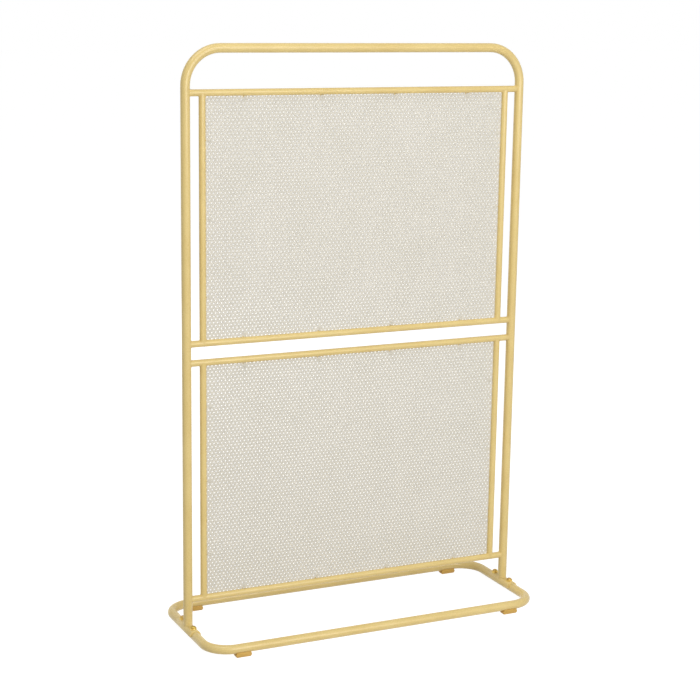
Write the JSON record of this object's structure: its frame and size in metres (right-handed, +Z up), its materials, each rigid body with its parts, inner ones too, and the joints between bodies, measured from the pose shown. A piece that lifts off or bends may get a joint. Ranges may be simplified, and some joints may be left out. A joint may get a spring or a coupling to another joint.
{
  "type": "freestanding privacy screen",
  "caption": "Freestanding privacy screen: a bent tube hoop on a rounded ring base, with perforated sheets held one above the other in slimmer tube frames.",
  "frame": {"origin": "on the floor, midway between the four glides and under the middle of the screen", "axes": "+Z up; the screen's plane is XZ, with +X to the right and its front facing -Y"},
  "size_m": [1.0224, 0.397, 1.6],
  "materials": {
    "gold_powder_coat": "smooth semi-gloss powder coat on steel tube",
    "stone_powder_coat": "fine matt powder coat on perforated steel sheet",
    "painted_rivet": "painted wide-flange blind rivet",
    "gold_fastener": "yellow-passivated zinc on steel",
    "zinc_plated_steel": "bright zinc plate",
    "ochre_nylon": "moulded nylon"
  },
  "bodies": {
    "root": {"hoop": "gold_powder_coat", "upper_top_rail": "gold_powder_coat", "upper_bottom_rail": "gold_powder_coat", "lower_top_rail": "gold_powder_coat", "lower_bottom_rail": "gold_powder_coat", "upper_left_stile": "gold_powder_coat", "upper_right_stile": "gold_powder_coat", "lower_left_stile": "gold_powder_coat", "lower_right_stile": "gold_powder_coat", "upper_sheet": "stone_powder_coat", "lower_sheet": "stone_powder_coat", "upper_sheet_tabs": "gold_powder_coat", "lower_sheet_tabs": "gold_powder_coat", "upper_sheet_rivets": "painted_rivet", "lower_sheet_rivets": "painted_rivet", "base_front_tube": "gold_powder_coat", "base_rear_tube": "gold_powder_coat", "left_joint_bar": "zinc_plated_steel", "right_joint_bar": "zinc_plated_steel", "left_saddle": "gold_powder_coat", "right_saddle": "gold_powder_coat", "saddle_washers": "gold_fastener", "saddle_bolts": "gold_fastener", "front_left_glide": "ochre_nylon", "front_right_glide": "ochre_nylon", "rear_left_glide": "ochre_nylon", "rear_right_glide": "ochre_nylon", "glide_screws": "zinc_plated_steel"}
  },
  "joints": []
}
